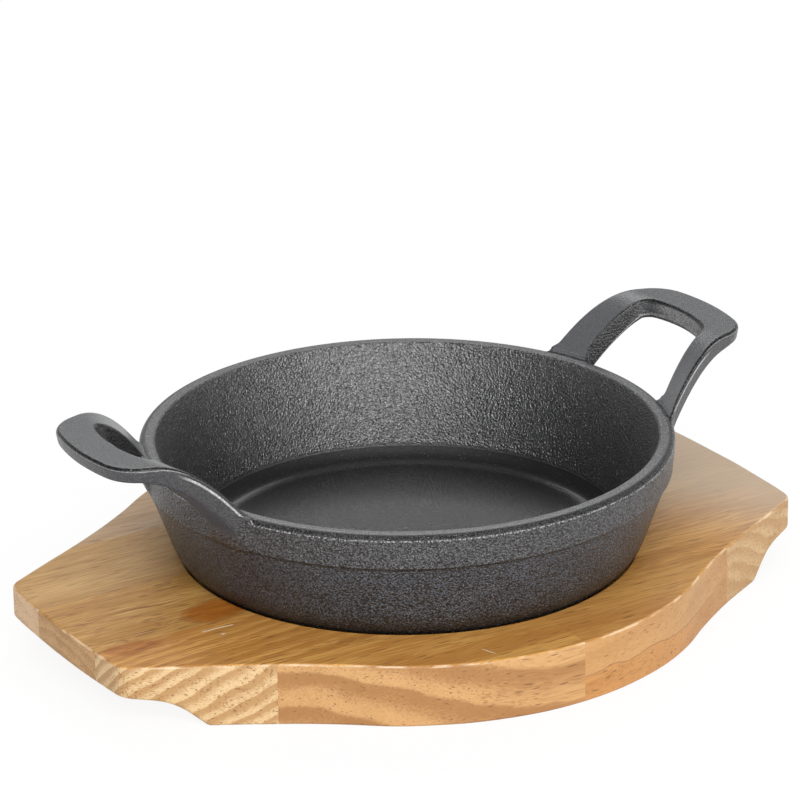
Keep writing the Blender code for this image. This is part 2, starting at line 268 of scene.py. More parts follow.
def rows_of_faces(bm, rings):
    """Faces between rings of equal point counts; a ring of one point makes triangles."""
    for ring, following in zip(rings, rings[1:]):
        count = max(len(ring), len(following))
        for index in range(count):
            after = (index + 1) % count
            near = ring if len(ring) == 1 else [ring[index], ring[after]]
            far = following if len(following) == 1 else [following[after], following[index]]
            bm.faces.new(near + far)


def combine(target, tools, operation):
    """Replace the target's mesh by its exact boolean with each tool, and delete the tools."""
    for tool in tools:
        boolean = target.modifiers.new("boolean", "BOOLEAN")
        boolean.operation = operation
        boolean.object = tool
        boolean.solver = "EXACT"
    graph = bpy.context.evaluated_depsgraph_get()
    mesh = bpy.data.meshes.new_from_object(target.evaluated_get(graph))
    target.modifiers.clear()
    target.data = mesh
    for tool in tools:
        bpy.data.objects.remove(tool)


# Board

def board_outline():
    """The board's outline, from the middle of the +X end round through +Y."""
    end_centre_x = BOARD_HALF_LENGTH - END_BOW_RADIUS
    corner = corner_circle(FLARE_SLOPE, FLARE_REACH, end_centre_x, END_BOW_RADIUS,
                           END_CORNER_RADIUS)
    end_angle = atan2(corner.y, corner.x - end_centre_x)
    end = arc((end_centre_x, 0), END_BOW_RADIUS, 0, end_angle, END_STEPS)
    rounding = arc(corner, END_CORNER_RADIUS, end_angle, FLARE_ANGLE, END_CORNER_STEPS)
    rise = FLARE_REACH + SHOULDER_RADIUS
    run = sqrt((BULGE_RADIUS + SHOULDER_RADIUS) ** 2 - rise ** 2)
    hollow = Vector((sin(FLARE_SLOPE) * rise + cos(FLARE_SLOPE) * run,
                     cos(FLARE_SLOPE) * rise - sin(FLARE_SLOPE) * run))
    hollow_angle = atan2(hollow.y, hollow.x)
    shoulder = arc(hollow, SHOULDER_RADIUS, pi + FLARE_ANGLE, pi + hollow_angle, SHOULDER_STEPS)
    bulge = arc((0, 0), BULGE_RADIUS, hollow_angle, pi / 2, BULGE_STEPS)
    quarter = end + rounding[1:] + shoulder + bulge[1:]
    upper = quarter + [(-x, y) for x, y in reversed(quarter[:-1])]
    whole = upper + [(x, -y) for x, y in reversed(upper[1:-1])]
    return subdivided(whole, OUTLINE_SPACING, closed=True)


def underside_height(x):
    """Height of the board's underside: flat, then over the rounded foot into the hollow."""
    lip_z = BOARD_THICKNESS - LIP_THICKNESS
    foot_x = BOARD_HALF_LENGTH - FOOT_SETBACK
    corner_x = foot_x + (lip_z - FOOT_SETBACK * tan(LIP_SLOPE)) / (tan(COVE_SLOPE) - tan(LIP_SLOPE))
    corner_z = (corner_x - foot_x) * tan(COVE_SLOPE)
    path = rounded_path([(0, 0, 0), (foot_x, 0, FOOT_ROUND), (corner_x, corner_z, COVE_RADIUS),
                         (BOARD_HALF_LENGTH, lip_z, 0)], COVE_STEPS)
    return np.interp(abs(x), [point[0] for point in path], [point[1] for point in path])


def edge_round(point, size):
    """The rounding at a place on the outline, which use has made uneven."""
    return size * (1 + EDGE_WEAR * noise.noise(Vector((*point, size)) * WEAR_RATE))


def board_blank():
    """The whole board without its recess, as rings from the underside up to the top."""
    outline = [Vector(point) for point in board_outline()]
    count = len(outline)
    inward = []
    for index in range(count):
        along = (outline[(index + 1) % count] - outline[index - 1]).normalized()
        inward.append(Vector((-along.y, along.x)))
    bm = bmesh.new()
    rings = []
    levels = [(UNDER_EDGE_ROUND, 1 - sin(a), 0, 1 - cos(a)) for a in QUARTER_TURN]
    levels += [(TOP_EDGE_ROUND, 1 - cos(a), BOARD_THICKNESS, sin(a) - 1) for a in QUARTER_TURN]
    for rounding, inset, level, rise in levels:
        ring = []
        for point, side in zip(outline, inward):
            size = edge_round(point, rounding)
            ring.append(bm.verts.new((*(point + side * size * inset), level + size * rise)))
        rings.append(ring)
    rows_of_faces(bm, rings)
    bm.faces.new(rings[0])
    bm.faces.new(rings[-1])
    return bm


def slice_mesh(bm, place, normal, clear_outer=False):
    return bmesh.ops.bisect_plane(bm, geom=bm.verts[:] + bm.edges[:] + bm.faces[:],
                                  dist=CUT_SLACK, plane_co=place, plane_no=normal,
                                  clear_outer=clear_outer)


def hollow_out(bm):
    """Lift the underside into the two finger hollows."""
    first = BOARD_HALF_LENGTH - FOOT_SETBACK - FOOT_ROUND
    for x in np.arange(first, BOARD_HALF_LENGTH, COVE_SPACING):
        for side in (-1, 1):
            slice_mesh(bm, (side * x, 0, 0), (1, 0, 0))
    for vert in bm.verts:
        if vert.co.z < BOARD_THICKNESS / 2:
            vert.co.z += underside_height(vert.co.x)


def turned(bm, profile, angles):
    """Turn an (r, z) profile round Z; points on the axis become one vertex each."""
    rings = []
    for radius, z in profile:
        if radius < ON_AXIS:
            rings.append([bm.verts.new((0, 0, z))])
        else:
            rings.append([bm.verts.new((radius * cos(a), radius * sin(a), z)) for a in angles])
    rows_of_faces(bm, rings)


def pan_radius_at(height):
    """Outer radius of the casting at a height over its base, on the heel's curve or above."""
    reach = HEEL_RADIUS * tan((pi / 2 - WALL_DRAFT) / 2)
    if height >= reach * cos(WALL_DRAFT):
        return HEEL_CORNER_RADIUS + height * tan(WALL_DRAFT)
    return HEEL_CORNER_RADIUS - reach + sqrt(HEEL_RADIUS ** 2 - (HEEL_RADIUS - height) ** 2)


def recess_cutter():
    """What the round recess is cut with; it widens at the top into a small rounding."""
    radius = pan_radius_at(RECESS_DEPTH - SEAT_GAP) + RECESS_CLEARANCE
    edge = RECESS_EDGE_ROUND
    lip = [(radius + edge * (1 - cos(a)), BOARD_THICKNESS - edge * (1 - sin(a)))
           for a in QUARTER_TURN]
    profile = [(0, FLOOR_LEVEL), (radius, FLOOR_LEVEL), *lip,
               (radius + edge, CUTTER_TOP), (0, CUTTER_TOP)]
    bm = bmesh.new()
    turned(bm, profile, [2 * pi * step / RECESS_STEPS for step in range(RECESS_STEPS)])
    return new_object("recess_cutter", bm)


def stave_spans():
    """Name and span in X and Y of each piece of wood, front to back."""
    far = 2 * BOARD_HALF_LENGTH
    half_gap = SEAM_GAP / 2
    full_staves = ("inner_front_stave", "middle_stave", "inner_back_stave")
    first_seam = STAVE_SHIFT - len(full_staves) * STAVE_WIDTH / 2
    seams = [first_seam + row * STAVE_WIDTH for row in range(len(full_staves) + 1)]
    spans = [("front_stave_left", -far, BUTT_JOINT_X - half_gap, -far, seams[0] - half_gap),
             ("front_stave_right", BUTT_JOINT_X + half_gap, far, -far, seams[0] - half_gap)]
    for name, low, high in zip(full_staves, seams, seams[1:]):
        spans.append((name, -far, far, low + half_gap, high - half_gap))
    spans.append(("back_stave", -far, far, seams[-1] + half_gap, far))
    return spans


def cut_off(bm, place, outward):
    """Remove what lies outside a plane and close the cut."""
    cut = slice_mesh(bm, place, outward, clear_outer=True)
    edges = [item for item in cut["geom_cut"] if isinstance(item, bmesh.types.BMEdge)]
    if edges:
        bmesh.ops.edgenet_fill(bm, edges=edges)


def weighted_normals(obj, sharp_angle):
    obj.data.shade_smooth()
    obj.data.set_sharp_from_angle(angle=sharp_angle)
    weights = obj.modifiers.new("weighted_normal", "WEIGHTED_NORMAL")
    weights.keep_sharp = True


def build_staves():
    bm = board_blank()
    hollow_out(bm)
    board = new_object("board", bm)
    combine(board, [recess_cutter()], "DIFFERENCE")
    for name, x_low, x_high, y_low, y_high in stave_spans():
        bm = bmesh.new()
        bm.from_mesh(board.data)
        cut_off(bm, (x_low, 0, 0), (-1, 0, 0))
        cut_off(bm, (x_high, 0, 0), (1, 0, 0))
        cut_off(bm, (0, y_low, 0), (0, -1, 0))
        cut_off(bm, (0, y_high, 0), (0, 1, 0))
        stave = new_object(f"{name}_wood", bm)
        weighted_normals(stave, WOOD_CREASE)
        stave.data.materials.clear()
        stave.data.materials.append(wood_material(name))
        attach(stave, "board")
        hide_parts(name)
    bpy.data.objects.remove(board)


# Pan

def pan_profile():
    """Half section of the pan without its handles: outside up, over the rim, inside down."""
    inner_rim = RIM_RADIUS - RIM_WIDTH
    inner_foot = inner_rim - (RIM_LEVEL - PAN_FLOOR) * tan(INNER_DRAFT)
    corners = [(0, PAN_BASE, 0),
               (HEEL_CORNER_RADIUS, PAN_BASE, HEEL_RADIUS),
               (STEP_FOOT_RADIUS, RIM_LEVEL - STEP_FOOT_DEPTH, STEP_ROUND),
               (BAND_FOOT_RADIUS, RIM_LEVEL - BAND_HEIGHT, STEP_ROUND),
               (RIM_RADIUS, RIM_LEVEL, RIM_OUTER_ROUND),
               (inner_rim, RIM_LEVEL, RIM_INNER_ROUND),
               (inner_foot, PAN_FLOOR, FLOOR_FILLET),
               (0, PAN_FLOOR, 0)]
    return subdivided(rounded_path(corners, PROFILE_ROUND_STEPS), PROFILE_SPACING)


def pan_angles():
    """Directions round the pan, closer together where the handles join it."""
    near = 2 * JOIN_ANGLE
    rest = pi - near
    fine = int(near / JOIN_TURN)
    coarse = int(rest / PLAIN_TURN)
    angles = []
    for middle in (0, pi):
        angles += [middle - JOIN_ANGLE + near * step / fine for step in range(fine)]
        angles += [middle + JOIN_ANGLE + rest * step / coarse for step in range(coarse)]
    return angles


def ramp_share(radius):
    """How far down the ramp a radius lies: 0 on the loop's level part, 1 at the ramp's start."""
    return max(RAMP_TOP_RADIUS - radius, 0) / RAMP_RUN


def ramp_height(radius):
    """Height of the handle's top face over the rim: a parabola that levels off."""
    return LOOP_RISE * (1 - ramp_share(radius) ** 2)


def bar_depth(level_depth, growth, radius):
    """Depth of the bar under its top face, which grows soon after the ramp sets in."""
    share = ramp_share(radius)
    return level_depth + growth * share * (2 - share)


def root_swell(distance, fillet):
    """How much a leg's side moves out near the wall, so that it meets it in a fillet."""
    if distance >= fillet:
        return 0.0
    gap = fillet - max(distance, 0.0)
    return fillet - sqrt(fillet ** 2 - gap ** 2)


def loop_outline(spread, toe_in, reach, bow_radius, corner_radius):
    """Half of one edge of the loop in plan: from the rim along a leg to the far bar's middle."""
    normal = Vector((sin(toe_in), cos(toe_in)))
    along = Vector((cos(toe_in), -sin(toe_in)))
    foot = Vector((sqrt(RIM_RADIUS ** 2 - spread ** 2), spread))
    bow_centre = RIM_RADIUS + reach - bow_radius
    corner = corner_circle(toe_in, foot.dot(normal), bow_centre, bow_radius, corner_radius)
    leg_end = corner + normal * corner_radius
    leg_length = (leg_end - foot).dot(along)
    leg = [foot + along * leg_length * (step / LEG_STEPS) ** LEG_CROWDING
           for step in range(LEG_STEPS)]
    bow_angle = atan2(corner.y, corner.x - bow_centre)
    bend = arc(corner, corner_radius, pi / 2 - toe_in, bow_angle, BEND_STEPS)
    bow = arc((bow_centre, 0), bow_radius, bow_angle, 0, BOW_STEPS)
    return leg + [Vector(point) for point in bend + bow[1:]]


def loop_stations():
    """Half of the loop in plan, root to far end: (middle point, outward direction, width)."""
    outer = loop_outline(LEG_SPREAD_OUTER, TOE_IN_OUTER, LOOP_REACH,
                         BOW_RADIUS_OUTER, LOOP_CORNER_OUTER)
    inner = loop_outline(LEG_SPREAD_INNER, TOE_IN_INNER, LOOP_REACH - FAR_BAR_WIDTH,
                         BOW_RADIUS_INNER, LOOP_CORNER_INNER)
    stations = []
    for outside, inside in zip(outer, inner):
        across = outside - inside
        stations.append(((outside + inside) / 2, across.normalized(), across.length))
    return stations


def bar_section(width, radius):
    """The bar's section as (out, height) points: deeper where it climbs, swollen near the wall.

    Both sides lean towards the opening as they go down.
    """
    distance = radius - RIM_RADIUS
    outer = width / 2 + root_swell(distance, ROOT_FILLET_OUTER)
    inner = -width / 2 - root_swell(distance, ROOT_FILLET_INNER)
    swell = root_swell(distance, ROOT_FILLET_BELOW)
    inner_depth = bar_depth(INNER_THICKNESS, INNER_GROWTH, radius) + swell
    outer_depth = bar_depth(OUTER_THICKNESS, OUTER_GROWTH, radius) + swell
    inner_foot = (inner - inner_depth * tan(BAR_DRAFT_INNER), -inner_depth)
    outer_foot = (outer - outer_depth * tan(BAR_DRAFT_OUTER), -outer_depth)
    corners = [(outer, 0, TOP_ROUND_OUTER), (inner, 0, TOP_ROUND_INNER),
               (*inner_foot, UNDER_ROUND_INNER),
               (*outer_foot, UNDER_ROUND_OUTER)]
    return with_flats(rounded_path(corners, BAR_ROUND_STEPS, closed=True))


def with_flats(path):
    """The section with a fixed count of points on each of its four flats."""
    result = []
    arc_points = len(path) // 4
    for corner in range(4):
        result += path[corner * arc_points:(corner + 1) * arc_points]
        first = Vector(path[(corner + 1) * arc_points - 1])
        second = Vector(path[((corner + 1) * arc_points) % len(path)])
        inner_points = FLAT_POINTS[corner % 2]
        result += [tuple(first.lerp(second, step / (inner_points + 1)))
                   for step in range(1, inner_points + 1)]
    return result


def lifted(point, height):
    """Place a plan point of the handle at its height under the sloping top face."""
    return (point.x, point.y, RIM_LEVEL + ramp_height(hypot(point.x, point.y)) + height)


def root_section():
    """The leg's first section, which lies on a circle inside the pan's wall."""
    middle, out, width = loop_stations()[0]
    along = Vector((out.y, -out.x))
    root_radius = RIM_RADIUS - RIM_WIDTH * ROOT_DEPTH
    section = []
    for offset, height in bar_section(width, RIM_RADIUS):
        side = middle + out * offset
        half_b = side.dot(along)
        travel = -half_b + sqrt(half_b ** 2 - side.length_squared + root_radius ** 2)
        section.append(lifted(side + along * travel, height))
    return section


def handle_sections():
    half = [root_section()]
    for middle, out, width in loop_stations():
        half.append([lifted(middle + out * offset, height)
                     for offset, height in bar_section(width, middle.length)])
    mirrored = [[(x, -y, z) for x, y, z in section] for section in reversed(half[:-1])]
    return half + mirrored


def build_handle(name, turn):
    bm = bmesh.new()
    rotation = Matrix.Rotation(turn, 3, "Z")
    sections = [[bm.verts.new(rotation @ Vector(point)) for point in section]
                for section in handle_sections()]
    rows_of_faces(bm, sections)
    bm.faces.new(sections[0])
    bm.faces.new(sections[-1])
    for face in bm.faces:
        face.material_index = HANDLE_MARK
    return new_object(name, bm)


def soften_joins(obj):
    """Relax the mesh along the handles' joins into soft fillets, as a casting has them."""
    bm = bmesh.new()
    bm.from_mesh(obj.data)
    seam = [edge for edge in bm.edges
            if len(edge.link_faces) == 2
            and edge.link_faces[0].material_index != edge.link_faces[1].material_index]
    seam_places = [vert.co.copy() for edge in seam for vert in edge.verts]
    tree = kdtree.KDTree(len(seam_places))
    for index, place in enumerate(seam_places):
        tree.insert(place, index)
    tree.balance()
    near = [vert for vert in bm.verts if tree.find(vert.co)[2] < BLEND_REACH]
    bmesh.ops.remove_doubles(bm, verts=near, dist=MERGE_DISTANCE)
    near = {vert for vert in bm.verts if tree.find(vert.co)[2] < BLEND_REACH}
    faces = [face for face in bm.faces if not near.isdisjoint(face.verts)]
    bmesh.ops.triangulate(bm, faces=faces)
    bm.verts.index_update()
    count = len(bm.verts)
    places = np.array([vert.co for vert in bm.verts])
    share = np.array([max(0.0, 1 - tree.find(vert.co)[2] / BLEND_REACH) for vert in bm.verts])
    share = (share * share * (3 - 2 * share))[:, None]
    pairs = np.array([[vert.index for vert in edge.verts] for edge in bm.edges])
    degree = np.bincount(pairs.ravel(), minlength=count)[:, None]
    for _ in range(BLEND_PASSES):
        total = np.zeros_like(places)
        np.add.at(total, pairs[:, 0], places[pairs[:, 1]])
        np.add.at(total, pairs[:, 1], places[pairs[:, 0]])
        places += (total / degree - places) * share * BLEND_PULL
    for vert, place in zip(bm.verts, places):
        vert.co = place
    bm.to_mesh(obj.data)
    bm.free()


def is_inside(place):
    """Whether a face's middle lies on the pan's inner wall or floor."""
    inner_rim = RIM_RADIUS - RIM_WIDTH / 2
    depth = RIM_LEVEL - place.z
    over_floor = place.z > PAN_BASE + FLOOR_THICKNESS / 2
    return over_floor and hypot(place.x, place.y) < inner_rim - max(depth, 0) * tan(INNER_DRAFT)


def iron_slot(face):
    """Index of a face's material: 0 outside, then 1 to 3 for the inner wall, fillet and floor."""
    if not is_inside(face.center):
        return 0
    if face.center.z >= PAN_FLOOR + FLOOR_FILLET:
        return 1
    return sum(face.normal.z > least for _, _, least in INNER_ZONES)


def build_pan():
    bm = bmesh.new()
    turned(bm, pan_profile(), pan_angles())
    pan = new_object("pan_casting", bm)
    handles = [build_handle("right_handle", 0), build_handle("left_handle", pi)]
    combine(pan, handles, "UNION")
    soften_joins(pan)
    pan.data.materials.clear()
    pan.data.materials.append(outer_iron())
    for name, ior, _ in INNER_ZONES:
        pan.data.materials.append(inner_iron(name, ior))
    for face in pan.data.polygons:
        face.material_index = iron_slot(face)
    weighted_normals(pan, IRON_CREASE)
    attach(pan, "pan")
    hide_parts("pan")


# Shader nodes

class Nodes:
    """Adds nodes to a tree; the methods but put return output sockets."""

    def __init__(self, tree):
        self.tree = tree

    def put(self, socket, value):
        """Link a socket to another or give it a value; a colour may come without its alpha."""
        if isinstance(value, bpy.types.NodeSocket):
            self.tree.links.new(value, socket)
        elif socket.type == "RGBA" and len(value) == 3:
            socket.default_value = (*value, 1)
        else:
            socket.default_value = value

    def node(self, kind, inputs, output=0, **settings):
        """One node; inputs maps a socket's name or number to a value or another socket."""
        made = self.tree.nodes.new(kind)
        for key, value in settings.items():
            setattr(made, key, value)
        for key, value in inputs.items():
            self.put(made.inputs[key], value)
        return made.outputs[output]

    def math(self, operation, first, second=0.0, third=0.0):
        return self.node("ShaderNodeMath", {0: first, 1: second, 2: third}, operation=operation)

    def product(self, first, *others):
        for other in others:
            first = self.math("MULTIPLY", first, other)
        return first

    def most(self, first, *others):
        for other in others:
            first = self.math("MAXIMUM", first, other)
        return first

    def inverse(self, share):
        return self.math("SUBTRACT", 1.0, share)

    def vector(self, operation, first, second=(0, 0, 0), output=0):
        return self.node("ShaderNodeVectorMath", {0: first, 1: second}, output, operation=operation)

    def axis(self, vector, name):
        return self.node("ShaderNodeSeparateXYZ", {0: vector}, name)

    def combine(self, x, y, z):
        return self.node("ShaderNodeCombineXYZ", {0: x, 1: y, 2: z})

    def scaled(self, vector, cell):
        return self.vector("DIVIDE", vector, cell if isinstance(cell, tuple) else (cell,) * 3)

    def noise(self, vector, cell, detail=2.0, rough=0.5, output="Fac"):
        """Noise with cells of the given size, one number or a size each along X, Y and Z."""
        inputs = {"Vector": self.scaled(vector, cell), "Scale": 1.0,
                  "Detail": detail, "Roughness": rough}
        return self.node("ShaderNodeTexNoise", inputs, output)

    def moved(self, point, cell, reach):
        """The point moved by noise, at most half of reach each way."""
        colour = self.noise(point, cell, output="Color")
        offset = self.vector("SUBTRACT", colour, (0.5, 0.5, 0.5))
        return self.vector("ADD", point, self.vector("MULTIPLY", offset, reach))

    def cells(self, vector, cell):
        """Distance to the nearest of scattered points, in cells of the given size."""
        inputs = {"Vector": self.scaled(vector, cell), "Scale": 1.0}
        return self.node("ShaderNodeTexVoronoi", inputs, "Distance")

    def between(self, value, low, high, from_value=0.0, to_value=1.0):
        """Smooth step from one value to another as the input goes from low to high."""
        inputs = {"Value": value, "From Min": low, "From Max": high,
                  "To Min": from_value, "To Max": to_value}
        return self.node("ShaderNodeMapRange", inputs, "Result", interpolation_type="SMOOTHSTEP")

    def fading(self, value, low, high, full=1.0):
        """Smooth step down to 0."""
        return self.between(value, low, high, full, 0.0)

    def band(self, value, low, full_from, full_to, high):
        """Smooth step up from 0 to 1, and back to 0 further on."""
        return self.product(self.between(value, low, full_from),
                            self.fading(value, full_to, high))

    def mix(self, share, first, second, blend="MIX"):
        """Blend of two colours."""
        made = self.tree.nodes.new("ShaderNodeMix")
        made.data_type = "RGBA"
        made.blend_type = blend
        colours = [socket for socket in made.inputs if socket.type == "RGBA"]
        for socket, value in zip((made.inputs["Factor"], *colours), (share, first, second)):
            self.put(socket, value)
        return next(socket for socket in made.outputs if socket.type == "RGBA")


class Shader(Nodes):
    """The nodes of a new material."""

    def __init__(self, name):
        self.material = bpy.data.materials.new(name)
        self.material.use_nodes = True
        super().__init__(self.material.node_tree)
        self.surface = self.tree.nodes["Principled BSDF"]

    def place(self):
        """The point in the object's own space, in millimetres."""
        point = self.node("ShaderNodeTexCoord", {}, "Object")
        return self.vector("MULTIPLY", point, (MM, MM, MM))

    def normal(self):
        return self.node("ShaderNodeTexCoord", {}, "Normal")

    def bump(self, height, distance, strength=1.0):
        inputs = {"Height": height, "Distance": distance, "Strength": strength}
        return self.node("ShaderNodeBump", inputs)

    def finish(self, **inputs):
        """Set the surface's inputs, with _ for the spaces in their names; returns the material."""
        for key, value in inputs.items():
            self.put(self.surface.inputs[key.replace("_", " ")], value)
        return self.material


# Cast iron
#
# Tones are linear colours. Lengths in the textures are millimetres. The numbers of between,
# fading and band say where a share rises and falls: heights and depths, or the facing of a
# surface, which is the Z of its normal, or its alignment with the tops, which is a cosine.

# Bluish below the band: a painted offset of the warm light that the board reflects onto the wall.
OUTER_IRON = ((0.034, 0.041, 0.051), (0.043, 0.051, 0.063))
BAND_TONE = (0.048, 0.049, 0.053)
# Painted shade: the outer wall darkens towards the board.
BASE_SHADE_TONE = (0.003, 0.005, 0.008)
# Painted shade in the crease under the band's step.
CREASE_SHADE_TONE = (0.006,) * 3
HANDLE_TONE = (0.038, 0.039, 0.042)
# Bluer under the handles: a painted offset of the board's warm reflection there.
UNDERSIDE_TONE = (0.036, 0.046, 0.062)
# Painted highlights along the rounded edges, brighter on the ramps.
EDGE_HIGHLIGHT_TONE = (0.200, 0.200, 0.202)
RAMP_EDGE_HIGHLIGHT_TONE = (0.420, 0.420, 0.425)
INNER_IRON = ((0.0035, 0.0035, 0.0036), (0.0050, 0.0050, 0.0052))
FLOOR_TONE = (0.014,) * 3
# Painted highlight: a thin bright line where the fillet meets the floor.
RING_HIGHLIGHT_TONE = (0.040,) * 3
# Painted highlight: the tops of the rim and the handles are painted lighter, as if lit.
RIM_TOP_LIT_TONE = (0.048, 0.049, 0.053)
HANDLE_TOP_LIT_TONE = (0.088, 0.090, 0.094)
RAMP_TOP_LIT_TONE = (0.108, 0.110, 0.115)
SHADOW_TONE = (0.007,) * 3
# Painted glints: bright specks scattered over the rough skin.
OUTER_GLINT_TONE = (0.26, 0.26, 0.265)
INNER_GLINT_TONE = (0.45, 0.45, 0.46)
RAMP_SHIFT = 0.22           # of both lines along the edges, at the ramp's start
PEBBLE_CELL, PEBBLE_HEIGHT = 0.56, 0.45
KNOB_CELL, KNOB_HEIGHT = 0.62, 1.1
GRIT_CELL, GRIT_HEIGHT = 0.30, 0.45
SWELL_CELL, SWELL_HEIGHT = (2.4, 2.4, 1.1), 0.32
GRAIN_CONTRAST = 0.85
GRIT_SHADE = 0.8            # share of the grit in the shade of the grains
WARP_CELL, WARP_REACH = 1.3, 0.8
CLOUD_CELL = 9.0
GLINT_CELL = 0.95
SMOOTHNESS = {"top": 0.86, "bottom": 0.72, "handle": 0.62, "fillet": 0.80}
IRON_ROUGHNESS = (0.36, 0.26)
DULL_ROUGHNESS = 0.30       # added where the surface is dull
OUTER_IOR = 1.55
OUTER_BUMP = 0.00042        # metres
INNER_BUMP = 0.00034


def ramp_of_handle(s, radius, handle):
    """How far down a handle's ramp a point lies, 0 to 1; 0 on the pan itself."""
    share = s.math("DIVIDE", s.math("SUBTRACT", RAMP_TOP_RADIUS * MM, radius), RAMP_RUN * MM)
    return s.product(s.most(share, 0.0), handle)


def top_alignment(s, flat, ramp):
    """How squarely a face looks along the top of the rim or of a handle there, which climbs."""
    slope = s.product(ramp, -2 * LOOP_RISE / RAMP_RUN)
    outward = s.vector("NORMALIZE", flat)
    climb = s.vector("MULTIPLY", outward, s.combine(slope, slope, slope))
    upright = s.vector("NORMALIZE", s.vector("ADD", climb, (0, 0, 1)))
    return s.vector("DOT_PRODUCT", s.normal(), upright, output="Value")


def iron_faces(s, place):
    """Shares of the casting's parts that look different, by name.

    top is the smooth top of the rim and the handles, and bottom the pan's floor. ramp says how
    far down a handle's ramp a point lies. under is the underside of the handles. shadow and edge
    are the painted dark line and the painted highlight along the rounded edges. fillet is the
    curve between floor and wall, dull its steeper part, and ring the thin painted highlight where
    it meets the floor.
    """
    rim, floor = RIM_LEVEL * MM, PAN_FLOOR * MM
    edge_radius = RIM_RADIUS * MM
    height = s.axis(place, "Z")
    facing = s.axis(s.normal(), "Z")
    flat = s.vector("MULTIPLY", place, (1, 1, 0))
    radius = s.vector("LENGTH", flat, output="Value")
    handle = s.most(s.between(height, rim + 0.2, rim + 1.0),
                    s.between(radius, edge_radius + 0.3, edge_radius + 1.2))
    ramp = ramp_of_handle(s, radius, handle)
    aligned = top_alignment(s, flat, ramp)
    shifted = s.math("MULTIPLY_ADD", ramp, RAMP_SHIFT, aligned)
    by_rim = s.between(height, rim - 2.6, rim - 1.6)
    by_floor = s.fading(height, floor + 1.0, floor + 3.0)
    in_fillet = s.fading(height, floor + 6.0, floor + 8.0)
    climb = s.inverse(s.math("POWER", ramp, 2.0))
    top_height = s.math("MULTIPLY_ADD", climb, LOOP_RISE * MM, rim)
    depth = s.math("SUBTRACT", top_height, height)
    sideways = s.product(s.axis(s.normal(), "Y"), s.axis(place, "Y"))
    leg_side = s.product(s.between(ramp, 0.20, 0.45), s.between(sideways, 0.0, 8.0), handle)
    shadow = s.product(s.between(shifted, 0.38, 0.52), s.fading(aligned, 0.91, 0.965))
    shadow = s.most(shadow, s.product(s.band(depth, 0.2, 0.5, 1.4, 1.7), leg_side))
    # Painted highlight: a bright line along the rounded edges, below the dark one.
    edge = s.band(shifted, 0.10, 0.20, 0.30, 0.40)
    edge = s.most(edge, s.product(s.band(depth, 1.5, 1.8, 2.3, 2.6), leg_side))
    return {"top": s.product(s.between(aligned, 0.90, 0.985), by_rim),
            "bottom": s.product(s.between(facing, 0.80, 0.97), by_floor),
            "handle": handle,
            "ramp": ramp,
            "under": s.product(s.fading(facing, -0.55, -0.25), handle),
            "shadow": s.product(shadow, by_rim),
            "edge": s.product(edge, by_rim),
            "fillet": s.product(s.between(facing, 0.34, 0.46), in_fillet),
            "dull": s.product(s.fading(facing, 0.86, 0.95), in_fillet),
            "ring": s.product(s.band(facing, 0.84, 0.93, 0.975, 0.998), in_fillet)}


def cast_relief(s, place, smooth):
    """The skin's height, the shade of its grains from -1 to 1, and the grit that is in both."""
    warp = s.noise(place, WARP_CELL, detail=1.0, output="Color")
    warp = s.vector("MULTIPLY", warp, (WARP_REACH,) * 3)
    pebble = s.inverse(s.cells(s.vector("ADD", place, warp), PEBBLE_CELL))
    grit = s.noise(place, GRIT_CELL, detail=1.0)
    swell = s.noise(place, SWELL_CELL, detail=1.0)
    knob = s.noise(place, KNOB_CELL, detail=0.5)
    skin = s.math("MULTIPLY_ADD", pebble, PEBBLE_HEIGHT, s.product(knob, KNOB_HEIGHT))
    skin = s.math("MULTIPLY_ADD", swell, SWELL_HEIGHT, skin)
    skin = s.math("MULTIPLY_ADD", grit, GRIT_HEIGHT, skin)
    rough_share = s.inverse(smooth)
    grain = s.math("MULTIPLY_ADD", grit, GRIT_SHADE, pebble)
    grain = s.between(grain, 0.72, 1.20, -1.0, 1.0)
    return s.product(skin, rough_share), s.product(grain, rough_share), grit


def iron_base(s, place, tones):
    """The shares of the faces, how smooth the skin is, and its cloudy colour."""
    faces = iron_faces(s, place)
    smooth = s.most(*[s.product(faces[name], share) for name, share in SMOOTHNESS.items()])
    colour = s.mix(s.between(s.noise(place, CLOUD_CELL, detail=3.0), 0.35, 0.65), *tones)
    return faces, smooth, colour


def finished_iron(s, place, faces, smooth, colour, ior, bump, glint_tone):
    """The material: smooth tops painted as if lit, grains and painted glints over the skin."""
    skin, grain, grit = cast_relief(s, place, smooth)
    # Painted highlight: the tops are painted lighter, as if lit.
    top_lit_tone = s.mix(faces["handle"], RIM_TOP_LIT_TONE, HANDLE_TOP_LIT_TONE)
    top_lit_tone = s.mix(s.between(faces["ramp"], 0.1, 0.5), top_lit_tone, RAMP_TOP_LIT_TONE)
    colour = s.mix(faces["top"], colour, top_lit_tone)
    colour = s.mix(s.product(faces["shadow"], 0.9), colour, SHADOW_TONE)
    shade = s.math("MULTIPLY_ADD", grain, GRAIN_CONTRAST, 1.0)
    colour = s.mix(1.0, colour, s.combine(shade, shade, shade), "MULTIPLY")
    # Painted glints: small bright specks where the skin is rough.
    glint = s.product(s.fading(s.cells(place, GLINT_CELL), 0.08, 0.17), s.inverse(smooth))
    colour = s.mix(glint, colour, glint_tone)
    dull = s.most(s.product(faces["fillet"], faces["dull"]), faces["under"])
    roughness = s.math("MULTIPLY_ADD", dull, DULL_ROUGHNESS,
                       s.between(grit, 0.35, 0.65, *IRON_ROUGHNESS))
    return s.finish(Base_Color=colour, Roughness=roughness, IOR=ior, Normal=s.bump(skin, bump))


